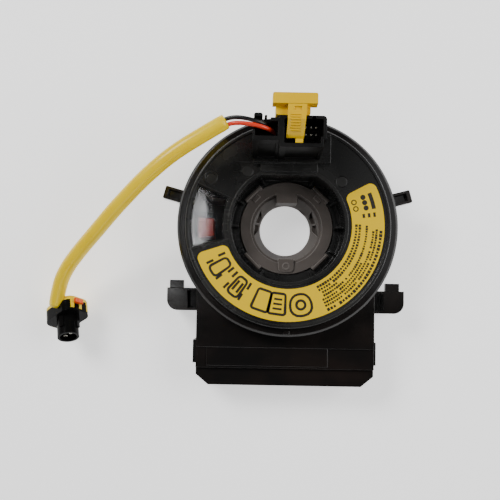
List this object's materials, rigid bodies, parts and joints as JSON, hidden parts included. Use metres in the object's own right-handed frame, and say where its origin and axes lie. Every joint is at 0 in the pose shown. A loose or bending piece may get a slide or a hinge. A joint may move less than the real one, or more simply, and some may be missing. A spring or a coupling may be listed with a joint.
{
  "type": "steering clock spring",
  "caption": "Steering clock spring with a turning face, a viewing window, a ribbon inside, a shipping lock and an airbag lead.",
  "frame": {"origin": "centre of the column bore, level with the back of the housing", "axes": "+Z along the steering column towards the driver, +Y from the bore to the wheel connector, +X to the right of a driver who looks at the face"},
  "size_m": [0.1758, 0.1302, 0.0562],
  "materials": {
    "black_gloss_plastic": "moulded black plastic with a glossy face",
    "black_satin_plastic": "moulded black plastic, satin",
    "hub_grey_plastic": "warm grey moulded plastic",
    "yellow_plastic": "saturated yellow moulded plastic",
    "yellow_label": "printed yellow film sticker",
    "yellow_sleeving": "soft lemon sleeving",
    "clear_window": "clear moulded window",
    "red_plastic": "red moulded plastic",
    "orange_plastic": "orange moulded plastic",
    "red_wire_cover": "red wire insulation",
    "black_wire_cover": "black wire insulation",
    "tin_plated_brass": "tin plated brass terminal",
    "ribbon_film": "white film over flat conductors",
    "slip_film": "low friction film"
  },
  "bodies": {
    "stator": {"stator_case": "black_gloss_plastic", "rear_cover": "black_satin_plastic", "column_socket": "black_satin_plastic", "column_pins": "tin_plated_brass", "airbag_socket": "yellow_plastic", "airbag_pins": "tin_plated_brass", "terminal_board": "black_satin_plastic", "outer_ribbon_block": "hub_grey_plastic", "lower_slip_sheet": "slip_film"},
    "rotor": {"rotor_face": "black_gloss_plastic", "hub_sleeve": "hub_grey_plastic", "window_lens": "clear_window", "arc_label": "yellow_label", "inner_ribbon_clip": "hub_grey_plastic", "upper_slip_sheet": "slip_film", "ribbon": "ribbon_film", "wheel_connector": "black_satin_plastic", "wheel_pins": "tin_plated_brass", "lead_sleeve": "yellow_sleeving", "red_wire": "red_wire_cover", "black_wire": "black_wire_cover", "plug_body": "black_satin_plastic", "plug_cover": "yellow_plastic", "plug_terminals": "tin_plated_brass"},
    "carrier": {"roller_carrier": "black_satin_plastic", "index_flag": "red_plastic"},
    "roller_1": {"roller_1": "hub_grey_plastic"},
    "roller_2": {"roller_2": "hub_grey_plastic"},
    "roller_3": {"roller_3": "hub_grey_plastic"},
    "roller_4": {"roller_4": "hub_grey_plastic"},
    "roller_5": {"roller_5": "hub_grey_plastic"},
    "roller_6": {"roller_6": "hub_grey_plastic"},
    "lock": {"lock_key": "yellow_plastic"},
    "plug_latch": {"plug_lock": "orange_plastic"}
  },
  "joints": [
    {"name": "rotor_turn", "type": "hinge", "parent": "stator", "child": "rotor", "pos_m": [0, 0, 0.015], "axis": [0, 0, 1], "range_deg": [-720, 720], "deforming": ["ribbon"]},
    {"name": "carrier_turn", "type": "hinge", "parent": "stator", "child": "carrier", "pos_m": [0, 0, 0.006], "axis": [0, 0, 1], "range_deg": [-280, 280]},
    {"name": "roller_1_spin", "type": "hinge", "parent": "carrier", "child": "roller_1", "pos_m": [0, -0.03805, 0.015], "axis": [0, 0, 1], "range_deg": [-1700, 1700]},
    {"name": "roller_2_spin", "type": "hinge", "parent": "carrier", "child": "roller_2", "pos_m": [0.03295, -0.01903, 0.015], "axis": [0, 0, 1], "range_deg": [-1700, 1700]},
    {"name": "roller_3_spin", "type": "hinge", "parent": "carrier", "child": "roller_3", "pos_m": [0.03295, 0.01903, 0.015], "axis": [0, 0, 1], "range_deg": [-1700, 1700]},
    {"name": "roller_4_spin", "type": "hinge", "parent": "carrier", "child": "roller_4", "pos_m": [0, 0.03805, 0.015], "axis": [0, 0, 1], "range_deg": [-1700, 1700]},
    {"name": "roller_5_spin", "type": "hinge", "parent": "carrier", "child": "roller_5", "pos_m": [-0.03295, 0.01902, 0.015], "axis": [0, 0, 1], "range_deg": [-1700, 1700]},
    {"name": "roller_6_spin", "type": "hinge", "parent": "carrier", "child": "roller_6", "pos_m": [-0.03295, -0.01902, 0.015], "axis": [0, 0, 1], "range_deg": [-1700, 1700]},
    {"name": "lock_pull", "type": "slide", "parent": "rotor", "child": "lock", "axis": [0, 0, 1], "range_m": [0, 0.035]},
    {"name": "plug_lock_slide", "type": "slide", "parent": "rotor", "child": "plug_latch", "axis": [0.7556, 0.4476, 0.4784], "range_m": [0, 0.0025]}
  ],
  "couplings": [
    {"joint": "carrier_turn", "follows": "rotor_turn", "ratio": 0.38765},
    {"joint": "roller_1_spin", "follows": "rotor_turn", "ratio": -2.346},
    {"joint": "roller_2_spin", "follows": "rotor_turn", "ratio": -2.346},
    {"joint": "roller_3_spin", "follows": "rotor_turn", "ratio": -2.346},
    {"joint": "roller_4_spin", "follows": "rotor_turn", "ratio": -2.346},
    {"joint": "roller_5_spin", "follows": "rotor_turn", "ratio": -2.346},
    {"joint": "roller_6_spin", "follows": "rotor_turn", "ratio": -2.346}
  ]
}
